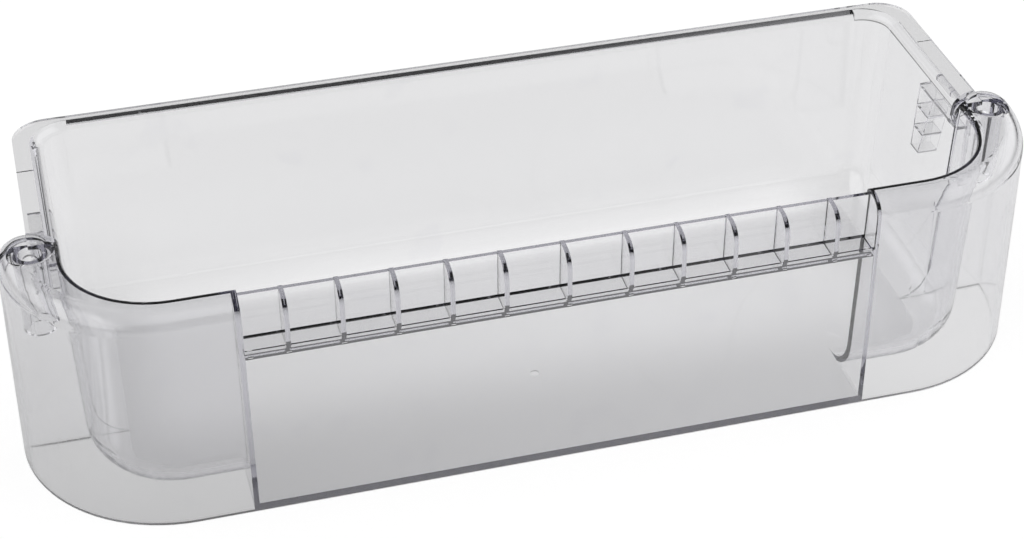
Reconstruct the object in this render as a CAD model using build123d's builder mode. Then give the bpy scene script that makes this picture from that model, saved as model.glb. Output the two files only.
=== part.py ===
# Clear bottle shelf for a refrigerator door, moulded in one piece.
# A tub with a flush front pane, two hollow front corners that carry post sockets, a seat for a clip-on
# trim strip above the pane, a flared rim along the sides and the back, and hanging lugs at the sides.
# The origin is under the middle of the shelf, X runs along it, +Y points to the back and +Z up.
from build123d import *
import math
import os

# Overall sizes
overall_width = 452.0
overall_depth = 161.8
rim_height = 104.2

# Walls
wall = 2.4
floor_thickness = 2.8
cheek_thickness = 2.2
outer_draft = 1.2
inner_draft = 1.5

# Hollow front corners
corner_radius = 66.5
front_rise = 1.6
shoulder_radius = 9.5
nose_radius = 14.8
nose_skirt = 11.7
rear_wall_setback = 1.5

# Inside of the tub, measured at the rim
end_width = 27.8
tub_front_depth = 15.5
back_width = 6.8
tub_front_radius = 39.0
tub_back_radius = 12.0
floor_fillet = 18.4
front_rim_radius = 3.0

# Trim seat between the corners
corner_length = 92.2
seat_height = 23.0
lip_height = 1.3
lip_thickness = 1.8
seat_chamfer = 0.9
skin_thickness = 1.8
skin_drop = 1.6

# Ribs of the trim seat
rib_thickness = 2.0
rib_centre_gap = 26.4
rib_pitch = 22.45
rib_end_gap = 10.0
rib_setback = 0.3
rib_shoulder_radius = 8.0
rib_drop = 0.6
tab_height = 5.0
tab_setback = 0.1
slot_width = 2.2
slot_height = 0.8
slot_rise = 0.4
slot_depth = 1.6

# Post sockets
post_inset = 16.0
post_setback = 5.5
post_bore = 10.0
post_diameter = 14.0
post_length = 36.0
collar_diameter = 19.0

# Flared rim along the sides and the back
flange_inset = 15.5
flange_thickness = 2.4
flange_corner_radius = 15.0
flare_radius = 4.4
flange_root = 2.8
mark_distance = 55.5
mark_width = 0.6
mark_depth = 0.35

# Hanging lugs
lug_reach = 10.2
lug_wall = 1.6
lug_height = 33.5
lug_setback = 38.8
lug_top_length = 15.4
lug_foot_length = 8.2
lug_cells = 3
strip_reach = 6.6

# Gate mark under the floor
gate_depth = 53.7
gate_diameter = 4.0
gate_recess = 0.4

# Values that follow from the sizes above
half_width = overall_width / 2
front = -overall_depth / 2
crest_height = rim_height + front_rise
tub_half = half_width - end_width
tub_back_depth = overall_depth - back_width
rear_wall_depth = corner_radius + rear_wall_setback
seam_depth = corner_radius - (wall - rear_wall_setback) / 2
seat_half = half_width - corner_length
seat_width = 2 * seat_half
cheek_outer = seat_half + cheek_thickness
ledge_top = rim_height - seat_height
ledge_bottom = ledge_top - wall
face_lean = ledge_top * math.tan(math.radians(outer_draft))
lip_back = face_lean + lip_thickness
lip_top = ledge_top + lip_height
rib_front = face_lean + rib_setback
tab_front = face_lean + tab_setback
skin_depth = tub_front_depth - skin_thickness
skin_top = rim_height - skin_drop
rib_top = rim_height - rib_drop
tab_top = lip_top + tab_height
ribs_per_side = int((seat_half - rib_centre_gap - rib_end_gap) / rib_pitch) + 1
rib_row = [rib_centre_gap + step * rib_pitch for step in range(ribs_per_side)]
rib_places = [0.0] + rib_row + [-x for x in rib_row]
slot_places = rib_places + [seat_half - slot_width, slot_width - seat_half]
post_x = half_width - post_inset
post_depth = corner_radius - post_setback
post_foot = rim_height - post_length
nose_x = half_width - nose_radius
skirt_height = rim_height - nose_skirt
flange_half = half_width - flange_inset
flange_bottom = rim_height - flange_thickness
root_bottom = flange_bottom - 2 * flange_root
under_lean = flange_thickness * math.tan(math.radians(inner_draft))
root_lean = (rim_height - root_bottom) * math.tan(math.radians(inner_draft))
mark_place = corner_radius + mark_distance
mark_length = flange_half - tub_half - flare_radius - mark_width
lug_top = skirt_height
lug_bottom = lug_top - lug_height
lug_back_depth = corner_radius + lug_setback
lug_pitch = lug_height / lug_cells
lug_lean = (rim_height - lug_top + lug_height / 2) * math.tan(math.radians(inner_draft))
lug_root = tub_half + wall / 2 - lug_lean
past = wall


def at(depth):
    """Y of a point that lies this far behind the front face."""
    return front + depth


def front_plan(inset):
    """Plan of the front body, moved in by an inset: straight front, round corners, flat back."""
    side = half_width - inset
    corner = corner_radius - inset
    turn = at(corner_radius)
    with BuildSketch() as plan:
        with BuildLine():
            Line((-side + corner, front + inset), (side - corner, front + inset))
            CenterArc((side - corner, turn), corner, -90, 90)
            Line((side, turn), (-side, turn))
            CenterArc((-side + corner, turn), corner, 180, 90)
        make_face()
    return plan.sketch


def tub_plan(outset):
    """Plan of the tub at the rim, moved out by an outset."""
    side = tub_half + outset
    front_radius = tub_front_radius + outset
    back_radius = tub_back_radius + outset
    near = at(tub_front_depth - outset)
    far = at(tub_back_depth + outset)
    with BuildSketch() as plan:
        with BuildLine():
            Line((-side + front_radius, near), (side - front_radius, near))
            CenterArc((side - front_radius, near + front_radius), front_radius, -90, 90)
            Line((side, near + front_radius), (side, far - back_radius))
            CenterArc((side - back_radius, far - back_radius), back_radius, 0, 90)
            Line((side - back_radius, far), (-side + back_radius, far))
            CenterArc((-side + back_radius, far - back_radius), back_radius, 90, 90)
            Line((-side, far - back_radius), (-side, near + front_radius))
            CenterArc((-side + front_radius, near + front_radius), front_radius, 180, 90)
        make_face()
    return plan.sketch


def lug_front(height):
    """Y of the slanting front edge of a hanging lug at a height."""
    share = (height - lug_bottom) / lug_height
    return at(lug_back_depth) - lug_foot_length - share * (lug_top_length - lug_foot_length)


def lug_outline(low, high, inset):
    """Side view of a stretch of a hanging lug between two heights, moved in by an inset."""
    with BuildSketch() as outline:
        with BuildLine():
            Polyline(
                (at(lug_back_depth) - inset, low + inset),
                (at(lug_back_depth) - inset, high - inset),
                (lug_front(high - inset) + inset, high - inset),
                (lug_front(low + inset) + inset, low + inset),
                close=True,
            )
        make_face()
    return outline.sketch


def on_tub_edge(edge, outset):
    """True for an edge of the tub's plan, moved out by an outset, behind the front body."""
    middle = edge.center()
    between_sides = abs(middle.X) < tub_half + outset + mark_width
    before_back = middle.Y < at(tub_back_depth + outset) + mark_width
    return between_sides and before_back and middle.Y > at(corner_radius) + mark_width


def on_front_rim(edge):
    """True for an edge of the tub's inside that lies in the front body."""
    middle = edge.center()
    in_front_body = at(tub_front_depth) - mark_width < middle.Y < at(corner_radius) - mark_width
    return in_front_body and abs(middle.X) < tub_half + mark_width


# Inside of the tub
with BuildPart() as tub_inside:
    with BuildSketch(Plane.XY.offset(crest_height)):
        add(tub_plan(0))
    extrude(amount=floor_thickness - crest_height, taper=inner_draft)
    fillet(tub_inside.faces().sort_by(Axis.Z)[0].edges(), radius=floor_fillet)

# Outside of the tub
with BuildPart() as tub_outside:
    with BuildSketch(Plane.XY.offset(rim_height)):
        add(tub_plan(wall))
    extrude(amount=-rim_height, taper=inner_draft)
    fillet(tub_outside.faces().sort_by(Axis.Z)[0].edges(), radius=floor_fillet + wall)

# Rear of the tub, whose wall flares out into a flange along the sides and the back
with BuildPart() as rear:
    add(tub_outside.part)
    with BuildSketch(Plane.XY.offset(rim_height - flange_thickness)) as flange:
        with Locations((0, at(overall_depth))):
            Rectangle(2 * flange_half, overall_depth - seam_depth, align=(Align.CENTER, Align.MAX))
        fillet(flange.vertices().group_by(Axis.Y)[-1], radius=flange_corner_radius)
    extrude(amount=flange_thickness)
    add(tub_inside.part, mode=Mode.SUBTRACT)
    with BuildSketch(Plane.XY):
        with Locations((0, at(seam_depth))):
            Rectangle(overall_width, overall_depth, align=(Align.CENTER, Align.MAX))
    extrude(amount=rim_height, mode=Mode.SUBTRACT)
    rim_face = rear.faces().sort_by(Axis.Z)[-1]
    fillet(rim_face.edges().filter_by(lambda edge: on_tub_edge(edge, 0)), radius=flare_radius)
    under_faces = rear.faces().filter_by(Axis.Z).filter_by(
        lambda face: abs(face.center().Z - rim_height + flange_thickness) < mark_depth
    )
    under_edges = under_faces.edges().filter_by(lambda edge: on_tub_edge(edge, wall))
    chamfer(under_edges, length=flange_root)
    # The back flange stands square on its wall between the corners
    with BuildSketch(Plane.YZ):
        with BuildLine():
            root_corners = [
                (at(tub_back_depth + wall) - under_lean, flange_bottom),
                (at(overall_depth) + past, flange_bottom),
                (at(overall_depth) + past, root_bottom),
                (at(tub_back_depth + wall) - root_lean, root_bottom),
            ]
            Polyline(*root_corners, close=True)
        make_face()
    extrude(amount=tub_half - tub_back_radius, both=True, mode=Mode.SUBTRACT)

# Round noses that end the hollow corners at the back, outside and inside
with BuildPart() as noses:
    with BuildSketch(Plane.XY):
        with Locations((-nose_x, at(corner_radius)), (nose_x, at(corner_radius))):
            Circle(nose_radius)
    extrude(amount=crest_height, taper=outer_draft)
    fillet(noses.faces().group_by(Axis.Z)[-1].edges(), radius=shoulder_radius)
    with BuildSketch(Plane.XY):
        with Locations((0, at(rear_wall_depth))):
            Rectangle(2 * overall_width, 2 * nose_radius, align=(Align.CENTER, Align.MIN))
    extrude(amount=skirt_height, mode=Mode.SUBTRACT)

with BuildPart() as nose_hollows:
    with BuildSketch(Plane.XY):
        with Locations((-nose_x, at(corner_radius)), (nose_x, at(corner_radius))):
            Circle(nose_radius - wall)
    extrude(amount=crest_height - wall, taper=outer_draft)
    fillet(nose_hollows.faces().group_by(Axis.Z)[-1].edges(), radius=shoulder_radius - wall)
    with BuildSketch(Plane.XY):
        with Locations((0, at(rear_wall_depth))):
            Rectangle(2 * overall_width, 2 * nose_radius, align=(Align.CENTER, Align.MAX))
    extrude(amount=crest_height, mode=Mode.SUBTRACT)

# Hollows of the two front corners, open at the bottom, around the tub and the post tubes
with BuildPart() as hollows:
    with BuildSketch(Plane.XY):
        add(front_plan(wall))
    extrude(amount=crest_height - wall, taper=outer_draft)
    hollow_crest = hollows.faces().sort_by(Axis.Z)[-1]
    fillet(hollow_crest.edges().sort_by(Axis.Y)[:-1], radius=shoulder_radius - wall)
    add(nose_hollows.part)
    with BuildSketch(Plane.XY):
        with Locations((0, at(rear_wall_depth))):
            Rectangle(2 * overall_width, wall, align=(Align.CENTER, Align.MAX))
        Rectangle(2 * cheek_outer, 2 * overall_depth)
    extrude(amount=crest_height, mode=Mode.SUBTRACT)
    with BuildSketch(Plane.XY.offset(post_foot)):
        with Locations((-post_x, at(post_depth)), (post_x, at(post_depth))):
            Circle(post_diameter / 2)
    extrude(amount=post_length, mode=Mode.SUBTRACT)
    add(tub_outside.part, mode=Mode.SUBTRACT)

# Room for the trim strip above the ledge, with a slope where the ledge turns up into the skin
with BuildPart() as seat:
    with BuildSketch(Plane.YZ.offset(-seat_half)):
        with BuildLine():
            Polyline(
                (at(-past), crest_height + past),
                (at(-past), lip_top),
                (at(lip_back), lip_top),
                (at(lip_back), ledge_top),
                (at(skin_depth), ledge_top),
                (at(skin_depth), skin_top),
                (at(tub_front_depth + past), skin_top),
                (at(tub_front_depth + past), crest_height + past),
                close=True,
            )
        make_face()
    extrude(amount=seat_width)
    turn_up = seat.edges().filter_by(Axis.X).filter_by_position(Axis.Z, ledge_top, ledge_top)
    chamfer(turn_up.sort_by(Axis.Y)[-1], length=seat_chamfer)

# One rib of the trim seat, shaped like a thumb, with a foot tab nearly flush with the lip
with BuildPart() as rib:
    with BuildSketch(Plane.YZ.offset(-rib_thickness / 2)):
        with BuildLine():
            Polyline(
                (at(rib_front + rib_shoulder_radius), rib_top),
                (at(skin_depth + skin_thickness / 2), rib_top),
                (at(skin_depth + skin_thickness / 2), ledge_bottom + wall / 2),
                (at(tab_front), ledge_bottom + wall / 2),
                (at(tab_front), tab_top),
                (at(rib_front), tab_top),
                (at(rib_front), rib_top - rib_shoulder_radius),
            )
            RadiusArc(
                (at(rib_front), rib_top - rib_shoulder_radius),
                (at(rib_front + rib_shoulder_radius), rib_top),
                rib_shoulder_radius,
            )
        make_face()
    extrude(amount=rib_thickness)

# Hanging lug of the right side: an open ladder wedge, and a strip that joins it to the nose
with BuildPart() as lug:
    with BuildSketch(Plane.YZ.offset(lug_root)):
        add(lug_outline(lug_bottom, lug_top, 0))
        for cell in range(lug_cells):
            low = lug_bottom + cell * lug_pitch
            add(lug_outline(low, low + lug_pitch, lug_wall / 2), mode=Mode.SUBTRACT)
    extrude(amount=lug_reach)
    with BuildSketch(Plane.XY.offset(lug_top - lug_wall)):
        with Locations((lug_root, at(rear_wall_depth - wall / 2))):
            strip_run = lug_back_depth - rear_wall_depth + wall / 2
            Rectangle(strip_reach, strip_run, align=(Align.MIN, Align.MIN))
    extrude(amount=lug_wall)

# The whole shelf
with BuildPart() as door_shelf:
    # Front body with its rounded shoulder, and the front of the tub
    with BuildSketch(Plane.XY):
        add(front_plan(0))
    extrude(amount=crest_height, taper=outer_draft)
    crest = door_shelf.faces().sort_by(Axis.Z)[-1]
    fillet(crest.edges().sort_by(Axis.Y)[:-1], radius=shoulder_radius)
    add(tub_inside.part, mode=Mode.SUBTRACT)
    front_rim = door_shelf.faces().filter_by(Axis.Z).group_by(Axis.Z)[-1]
    fillet(front_rim.edges().filter_by(on_front_rim), radius=front_rim_radius)

    # Noses and collars, the hollows under them, and the rear of the tub
    add(noses.part)
    with BuildSketch(Plane.XY.offset(rim_height - shoulder_radius / 2)):
        with Locations((-post_x, at(post_depth)), (post_x, at(post_depth))):
            Circle(collar_diameter / 2)
    extrude(amount=shoulder_radius / 2)
    with BuildSketch(Plane.XY.offset(rim_height)):
        with Locations((-post_x, at(post_depth)), (post_x, at(post_depth))):
            Circle(collar_diameter / 2)
    extrude(amount=front_rise + past, mode=Mode.SUBTRACT)
    add(hollows.part, mode=Mode.SUBTRACT)
    add(rear.part)

    # Bay between the pane and the tub
    with BuildSketch(Plane.XY.offset(floor_thickness)):
        with Locations((0, at(wall))):
            Rectangle(seat_width, tub_front_depth + 2 * floor_fillet, align=(Align.CENTER, Align.MIN))
    extrude(amount=ledge_bottom - floor_thickness, mode=Mode.SUBTRACT)

    # Trim seat with its ribs, and the snap slots at their feet
    add(seat.part, mode=Mode.SUBTRACT)
    with Locations(*[(x, 0, 0) for x in rib_places]):
        add(rib.part)
    with BuildSketch(Plane.XY.offset(ledge_bottom + slot_rise)):
        with Locations(*[(x, at(0)) for x in slot_places]):
            Rectangle(slot_width, 2 * (face_lean + slot_depth))
    extrude(amount=slot_height, mode=Mode.SUBTRACT)

    # Hanging lugs
    add(lug.part)
    mirror(lug.part, about=Plane.YZ)

    # Post sockets
    with BuildSketch(Plane.XY.offset(post_foot)):
        with Locations((-post_x, at(post_depth)), (post_x, at(post_depth))):
            Circle(post_bore / 2)
    extrude(amount=post_length + past, mode=Mode.SUBTRACT)

    # Witness grooves across the side flanges
    with BuildSketch(Plane.XY.offset(rim_height - mark_depth)):
        with Locations((-flange_half, at(mark_place)), (flange_half, at(mark_place))):
            Rectangle(2 * mark_length, mark_width)
    extrude(amount=mark_depth, mode=Mode.SUBTRACT)

    # Gate mark: a shallow round recess under the floor
    with BuildSketch(Plane.XY):
        with Locations((0, at(gate_depth))):
            Circle(gate_diameter / 2)
    extrude(amount=gate_recess, mode=Mode.SUBTRACT)

os.makedirs("parts", exist_ok=True)
door_shelf.part.label = "door_shelf"
export_step(door_shelf.part, "parts/door_shelf.step")
print("solids", len(door_shelf.part.solids()), "valid", door_shelf.part.is_valid)
print("volume", round(door_shelf.part.volume, 1), "box", door_shelf.part.bounding_box())
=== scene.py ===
import math

import bpy
from mathutils import Euler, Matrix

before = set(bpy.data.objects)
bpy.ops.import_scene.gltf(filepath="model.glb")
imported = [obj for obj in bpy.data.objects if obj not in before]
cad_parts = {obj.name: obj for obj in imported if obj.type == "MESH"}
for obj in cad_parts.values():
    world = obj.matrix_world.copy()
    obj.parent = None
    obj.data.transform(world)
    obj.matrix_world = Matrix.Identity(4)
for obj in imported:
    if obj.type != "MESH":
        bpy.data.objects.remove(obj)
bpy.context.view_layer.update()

# Clear plastic; lengths are in metres and noise scales are per metre
plastic_index = 1.57
plastic_tint = (0.22, 0.21, 0.35, 1.0)
plastic_tint_density = 24.0
clean_colour = (0.995, 0.995, 0.995, 1.0)
smudge_colour = (0.975, 0.975, 0.98, 1.0)
smudge_scale = 38.0
smudge_detail = 3.0
smudge_span = (0.60, 0.70)
polish_roughness = 0.015
haze_roughness = 0.06
haze_scale = 26.0
haze_detail = 5.0
haze_span = (0.35, 0.75)
worn_scale = 11.0
worn_detail = 2.0
worn_span = (0.42, 0.62)
scratch_roughness = 0.22
scratch_turns = (0.35, 1.25, 2.45)
scratch_tilt = 0.4
scratch_stretch = (9.0, 170.0, 9.0)
scratch_level = 0.62
scratch_width = 0.006
foot_roughness = 0.38
foot_height = (0.0002, 0.0006)

# Pale floor, with painted shade and a painted pool of light seen through the plastic, and a painted falloff
# far away
floor_reach = 6.0
floor_gap = 0.0006
floor_grey = 0.25
floor_seen = 0.90
# Painted shadow of the shelf: the floor seen through the plastic is darker to the front left
painted_shadow_way = (-0.6, -1.0, 0.0)
painted_shadow_span = (-0.04, 0.20)
floor_through_right = 0.75
floor_through_left = 0.52
# Painted pool of light: the floor seen through the plastic is brighter in a strip under the tub
painted_pool_line = 0.030
painted_pool_span = (0.028, 0.085)
painted_pool_ends = (0.150, 0.195)
painted_pool_gain = 1.24
painted_pool_outside_gain = 0.94
# Painted falloff of light: the floor's glow and colour grow darker far from the shelf
painted_falloff_span = (0.75, 1.60)
painted_falloff_far_level = 0.12

# Studio surroundings
box_level = 1.55
box_span = (0.38, 0.62)
ceiling_level = 0.25
camera_side = (-0.21, -0.76, 0.61)
camera_side_level = 0.015
camera_side_span = (0.80, 0.90)
ground_level = 0.05
ground_span = (0.05, 0.25)

# Camera, with its turn in degrees and its lens and sensor in millimetres
camera_place = (-0.20209, -0.74550, 0.61462)
camera_turn = (53.4165, 0.1265, -15.0222)
camera_lens = 75.43
camera_sensor = 36.0

# Light paths long enough for the many inner reflections of clear plastic
most_bounces = 32
glossy_bounces = 16
diffuse_bounces = 4

# Numbers of the colour sockets of a mix node
mix_factor = 0
mix_first = 6
mix_second = 7
mix_result = 2


def node(tree, kind, **values):
    """Adds a node and sets its properties."""
    made = tree.nodes.new(kind)
    for name, value in values.items():
        setattr(made, name, value)
    return made


def remap(tree, source, start, end, smooth=True):
    """Turns a socket's values from one span into another."""
    kind = "SMOOTHSTEP" if smooth else "LINEAR"
    made = node(tree, "ShaderNodeMapRange", interpolation_type=kind)
    made.inputs["From Min"].default_value = start[0]
    made.inputs["From Max"].default_value = start[1]
    made.inputs["To Min"].default_value = end[0]
    made.inputs["To Max"].default_value = end[1]
    tree.links.new(source, made.inputs["Value"])
    return made.outputs["Result"]


def maths(tree, operation, first, second=None):
    """Works on one socket, on two, or on a socket and a number."""
    made = node(tree, "ShaderNodeMath", operation=operation)
    tree.links.new(first, made.inputs[0])
    if isinstance(second, float):
        made.inputs[1].default_value = second
    elif second is not None:
        tree.links.new(second, made.inputs[1])
    return made.outputs[0]


def along(tree, vector, way):
    """Measures a vector along a direction."""
    made = node(tree, "ShaderNodeVectorMath", operation="DOT_PRODUCT")
    made.inputs[1].default_value = way
    tree.links.new(vector, made.inputs[0])
    return made.outputs["Value"]


def length(tree, vector):
    """Measures a vector's length."""
    made = node(tree, "ShaderNodeVectorMath", operation="LENGTH")
    tree.links.new(vector, made.inputs[0])
    return made.outputs["Value"]


def split(tree, vector):
    """Gives a vector's three parts."""
    made = node(tree, "ShaderNodeSeparateXYZ")
    tree.links.new(vector, made.inputs["Vector"])
    return made.outputs


def noise(tree, vector, scale, detail):
    """Adds a noise pattern."""
    made = node(tree, "ShaderNodeTexNoise")
    made.inputs["Scale"].default_value = scale
    made.inputs["Detail"].default_value = detail
    tree.links.new(vector, made.inputs["Vector"])
    return made.outputs["Fac"]


def new_tree(owner):
    """Gives a material or world an empty node tree."""
    owner.use_nodes = True
    owner.node_tree.nodes.clear()
    return owner.node_tree


def scratches(tree, place, turn):
    """Gives fine lines that run one way: thin contours of a noise stretched across them."""
    lay = node(tree, "ShaderNodeMapping")
    lay.inputs["Rotation"].default_value = (turn, scratch_tilt * turn, turn)
    lay.inputs["Scale"].default_value = scratch_stretch
    tree.links.new(place, lay.inputs["Vector"])
    grain = noise(tree, lay.outputs["Vector"], 1.0, 0.0)
    off = maths(tree, "ABSOLUTE", maths(tree, "SUBTRACT", grain, scratch_level))
    return remap(tree, off, (0.0, scratch_width), (scratch_roughness, 0.0), smooth=False)


def plastic_roughness(tree, place):
    """Haze in patches, scratches where the plastic is worn, and an underside rubbed by sliding about."""
    cloud = noise(tree, place, haze_scale, haze_detail)
    rough = remap(tree, cloud, haze_span, (polish_roughness, haze_roughness), smooth=False)
    worn = remap(tree, noise(tree, place, worn_scale, worn_detail), worn_span, (0.0, 1.0))
    for turn in scratch_turns:
        lines = maths(tree, "MULTIPLY", scratches(tree, place, turn), worn)
        rough = maths(tree, "MAXIMUM", rough, lines)
    height = split(tree, place)["Z"]
    foot = remap(tree, height, foot_height, (foot_roughness, 0.0), smooth=False)
    return maths(tree, "MAXIMUM", rough, foot)


def plastic_colour(tree, place):
    """Nearly colourless, with faint smudges."""
    spots = noise(tree, place, smudge_scale, smudge_detail)
    smudge = node(tree, "ShaderNodeMix", data_type="RGBA")
    smudge.inputs[mix_first].default_value = clean_colour
    smudge.inputs[mix_second].default_value = smudge_colour
    tree.links.new(remap(tree, spots, smudge_span, (0.0, 1.0)), smudge.inputs[mix_factor])
    return smudge.outputs[mix_result]


def clear_plastic():
    """Clear styrene plastic: glassy, grey-violet along its edges, hazy in patches and finely scratched."""
    material = bpy.data.materials.new("clear_plastic_scratched")
    tree = new_tree(material)
    place = node(tree, "ShaderNodeTexCoord").outputs["Object"]
    glass = node(tree, "ShaderNodeBsdfPrincipled")
    glass.inputs["IOR"].default_value = plastic_index
    glass.inputs["Transmission Weight"].default_value = 1.0
    tree.links.new(plastic_colour(tree, place), glass.inputs["Base Color"])
    tree.links.new(plastic_roughness(tree, place), glass.inputs["Roughness"])
    tint = node(tree, "ShaderNodeVolumeAbsorption")
    tint.inputs["Color"].default_value = plastic_tint
    tint.inputs["Density"].default_value = plastic_tint_density
    out = node(tree, "ShaderNodeOutputMaterial")
    tree.links.new(glass.outputs["BSDF"], out.inputs["Surface"])
    tree.links.new(tint.outputs["Volume"], out.inputs["Volume"])
    return material


def painted_shadow_and_pool_through(tree, place):
    """The floor's level through the plastic: painted shade, dimmer to the front left, and a painted pool of
    light, brighter under the tub.
    """
    # Painted shadow, darker to the front left
    dim = along(tree, place, painted_shadow_way)
    base = remap(tree, dim, painted_shadow_span, (floor_through_right, floor_through_left), smooth=False)
    parts = split(tree, place)
    # Painted pool of light in a strip under the tub
    off_line = maths(tree, "ABSOLUTE", maths(tree, "SUBTRACT", parts["Y"], painted_pool_line))
    in_depth = remap(tree, off_line, painted_pool_span, (1.0, 0.0))
    in_width = remap(tree, maths(tree, "ABSOLUTE", parts["X"]), painted_pool_ends, (1.0, 0.0))
    under = maths(tree, "MULTIPLY", in_depth, in_width)
    gain = remap(tree, under, (0.0, 1.0), (painted_pool_outside_gain, painted_pool_gain), smooth=False)
    return maths(tree, "MULTIPLY", base, gain)


def pale_floor():
    """White to the camera, with a faint shadow; a little darker through the plastic, with a painted shadow to
    the front left and a painted pool of light under the tub; and darker far away by a painted falloff of
    light.
    """
    material = bpy.data.materials.new("pale_floor")
    tree = new_tree(material)
    place = node(tree, "ShaderNodeNewGeometry").outputs["Position"]
    path = node(tree, "ShaderNodeLightPath").outputs
    # Painted falloff of light with distance from the shelf
    painted_falloff = remap(tree, length(tree, place), painted_falloff_span, (1.0, painted_falloff_far_level))
    bent = maths(tree, "MAXIMUM", path["Is Glossy Ray"], path["Is Transmission Ray"])
    bent_level = maths(tree, "MULTIPLY", maths(tree, "MULTIPLY", bent, painted_shadow_and_pool_through(tree, place)), painted_falloff)
    seen_level = maths(tree, "MULTIPLY", path["Is Camera Ray"], floor_seen)
    glow = node(tree, "ShaderNodeEmission")
    tree.links.new(maths(tree, "MAXIMUM", seen_level, bent_level), glow.inputs["Strength"])
    matte = node(tree, "ShaderNodeBsdfDiffuse")
    tree.links.new(maths(tree, "MULTIPLY", painted_falloff, floor_grey), matte.inputs["Color"])
    both = node(tree, "ShaderNodeAddShader")
    tree.links.new(matte.outputs["BSDF"], both.inputs[0])
    tree.links.new(glow.outputs["Emission"], both.inputs[1])
    out = node(tree, "ShaderNodeOutputMaterial")
    tree.links.new(both.outputs[0], out.inputs["Surface"])
    return material


def studio():
    """Wide soft lights at the sides, a dim ceiling, a dark side behind the camera, and white to the camera."""
    world = bpy.data.worlds.new("studio")
    tree = new_tree(world)
    way = node(tree, "ShaderNodeTexCoord").outputs["Generated"]
    parts = split(tree, way)
    boxes = remap(tree, maths(tree, "ABSOLUTE", parts["X"]), box_span, (0.0, box_level))
    toward = along(tree, way, camera_side)
    ceiling = remap(tree, toward, camera_side_span, (ceiling_level, camera_side_level))
    raised = remap(tree, parts["Z"], ground_span, (ground_level, 1.0))
    lit = maths(tree, "MULTIPLY", maths(tree, "MAXIMUM", boxes, ceiling), raised)
    seen = node(tree, "ShaderNodeLightPath").outputs["Is Camera Ray"]
    sky = node(tree, "ShaderNodeBackground")
    tree.links.new(maths(tree, "MAXIMUM", lit, seen), sky.inputs["Strength"])
    out = node(tree, "ShaderNodeOutputWorld")
    tree.links.new(sky.outputs["Background"], out.inputs["Surface"])
    return world


scene = bpy.context.scene
scene.view_settings.view_transform = "Standard"
scene.cycles.max_bounces = most_bounces
scene.cycles.transmission_bounces = most_bounces
scene.cycles.glossy_bounces = glossy_bounces
scene.cycles.diffuse_bounces = diffuse_bounces
scene.world = studio()

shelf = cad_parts["door_shelf"]
shelf.data.materials.clear()
shelf.data.materials.append(clear_plastic())

# The floor lies a hair under the shelf, so that the two faces don't meet
floor_mesh = bpy.data.meshes.new("floor")
corners = [(-1, -1), (1, -1), (1, 1), (-1, 1)]
floor_mesh.from_pydata([(x * floor_reach, y * floor_reach, 0) for x, y in corners], [], [(0, 1, 2, 3)])
floor_mesh.materials.append(pale_floor())
floor = bpy.data.objects.new("floor", floor_mesh)
floor.location = (0, 0, -floor_gap)
scene.collection.objects.link(floor)

# Camera at the photograph's place
lens = bpy.data.cameras.new("camera")
lens.sensor_width = camera_sensor
lens.lens = camera_lens
camera = bpy.data.objects.new("camera", lens)
camera.location = camera_place
camera.rotation_euler = Euler([math.radians(angle) for angle in camera_turn], "XYZ")
scene.collection.objects.link(camera)
scene.camera = camera
